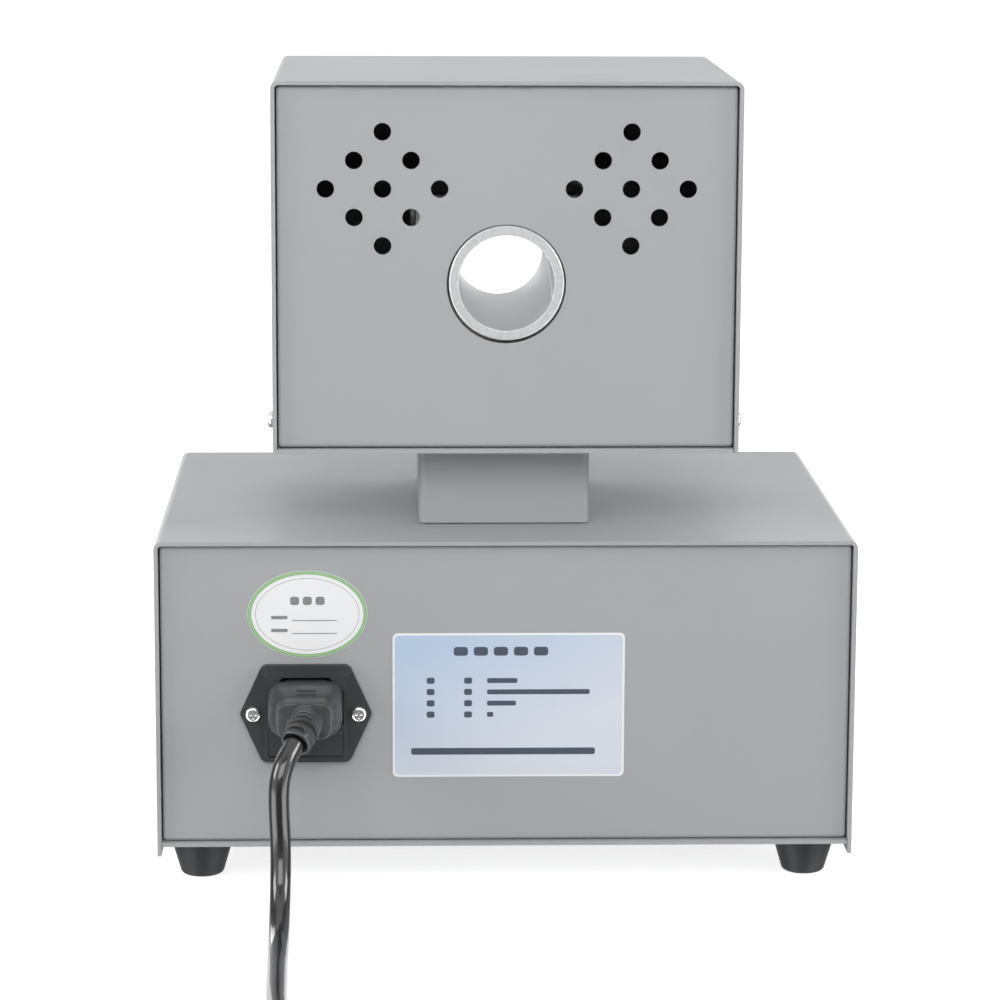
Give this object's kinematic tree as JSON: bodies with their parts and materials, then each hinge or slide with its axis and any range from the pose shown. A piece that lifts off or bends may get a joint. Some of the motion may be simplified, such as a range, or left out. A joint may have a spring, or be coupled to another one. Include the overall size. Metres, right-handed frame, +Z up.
{
  "type": "denture injection molding machine",
  "caption": "Two-box bench heater: a grey instrument base with a mains inlet carries, on a post, a smaller box through which a heating barrel runs from front to back.",
  "frame": {"origin": "on the surface it stands on, below the middle of the base", "axes": "+Z up; the mains inlet, labels and vent holes face +Y, the controls -Y; X along the width"},
  "size_m": [0.27, 0.5088, 0.3059],
  "materials": {
    "grey_paint": "fine matte powder coat",
    "steel": "bright zinc-plated or brushed steel",
    "tube_metal": "satin, lightly frosted",
    "insulation": "rough ceramic-fibre board",
    "black_rubber": "soft black, semi-gloss on the cord",
    "black_plastic": "fine-grained black",
    "gloss_black": "smooth moulded black",
    "label": "printed film",
    "dark_window": "dark tinted window",
    "board": "green circuit board",
    "key": "grey moulded key",
    "lamp_ring": "polished",
    "lamp_lens": "translucent red",
    "fuse_glass": "clear tube with bright caps",
    "contact": "nickel-plated",
    "wire": "insulated wire"
  },
  "bodies": {
    "machine": {"band_heater": "steel", "base_bottom_plate": "grey_paint", "base_cover": "grey_paint", "base_front_panel": "grey_paint", "base_rear_panel": "grey_paint", "bracket_screws": "steel", "connector": "gloss_black", "cord": "black_rubber", "cord_coil": "black_rubber", "cord_tie": "black_rubber", "cover_screws": "steel", "earth_stud": "steel", "foot_screws": "steel", "front_sleeve": "steel", "heater_lead": "wire", "heater_straps": "steel", "heater_tube": "tube_metal", "inlet_body": "black_plastic", "inlet_contacts": "contact", "inlet_screws": "steel", "instrument_boards": "board", "instrument_cases": "black_plastic", "instrument_windows": "dark_window", "insulation": "insulation", "lamp_body": "lamp_ring", "lamp_lens": "lamp_lens", "mains_leads": "wire", "mains_plug": "gloss_black", "nuts": "steel", "oval_label": "label", "panel_screws": "steel", "post": "grey_paint", "rating_label": "label", "relay": "black_plastic", "relay_heatsink": "tube_metal", "rubber_feet": "black_rubber", "saddle": "steel", "strain_relief": "black_rubber", "switch_frame": "black_plastic", "terminal_screws": "steel", "terminal_strip": "black_plastic", "thermocouple": "steel", "thermocouple_lead": "wire", "thermostat_bezel": "black_plastic", "timer_bezel": "black_plastic", "upper_bottom_plate": "grey_paint", "upper_cover": "grey_paint", "upper_front_panel": "grey_paint", "upper_rear_panel": "grey_paint", "wire_grommets": "black_rubber"},
    "fuse_drawer": {"fuse_drawer": "black_plastic", "fuses": "fuse_glass"},
    "rocker": {"rocker": "gloss_black"},
    "thermostat_key_1": {"thermostat_key_1": "key"},
    "thermostat_key_2": {"thermostat_key_2": "key"},
    "thermostat_key_3": {"thermostat_key_3": "key"},
    "thermostat_key_4": {"thermostat_key_4": "key"},
    "timer_key_1": {"timer_key_1": "key"},
    "timer_key_2": {"timer_key_2": "key"},
    "timer_key_3": {"timer_key_3": "key"}
  },
  "joints": [
    {"name": "fuse_drawer_slide", "type": "slide", "parent": "machine", "child": "fuse_drawer", "axis": [0, 1, 0], "range_m": [0, 0.02]},
    {"name": "rocker_pivot", "type": "hinge", "parent": "machine", "child": "rocker", "pos_m": [0.098, -0.093, 0.058], "axis": [1, 0, 0], "range_deg": [-20, 0]},
    {"name": "thermostat_key_1_press", "type": "slide", "parent": "machine", "child": "thermostat_key_1", "axis": [0, 1, 0], "range_m": [0, 0.0006], "stiffness_N_per_m": 600},
    {"name": "thermostat_key_2_press", "type": "slide", "parent": "machine", "child": "thermostat_key_2", "axis": [0, 1, 0], "range_m": [0, 0.0006], "stiffness_N_per_m": 600},
    {"name": "thermostat_key_3_press", "type": "slide", "parent": "machine", "child": "thermostat_key_3", "axis": [0, 1, 0], "range_m": [0, 0.0006], "stiffness_N_per_m": 600},
    {"name": "thermostat_key_4_press", "type": "slide", "parent": "machine", "child": "thermostat_key_4", "axis": [0, 1, 0], "range_m": [0, 0.0006], "stiffness_N_per_m": 600},
    {"name": "timer_key_1_press", "type": "slide", "parent": "machine", "child": "timer_key_1", "axis": [0, 1, 0], "range_m": [0, 0.0006], "stiffness_N_per_m": 600},
    {"name": "timer_key_2_press", "type": "slide", "parent": "machine", "child": "timer_key_2", "axis": [0, 1, 0], "range_m": [0, 0.0006], "stiffness_N_per_m": 600},
    {"name": "timer_key_3_press", "type": "slide", "parent": "machine", "child": "timer_key_3", "axis": [0, 1, 0], "range_m": [0, 0.0006], "stiffness_N_per_m": 600}
  ]
}
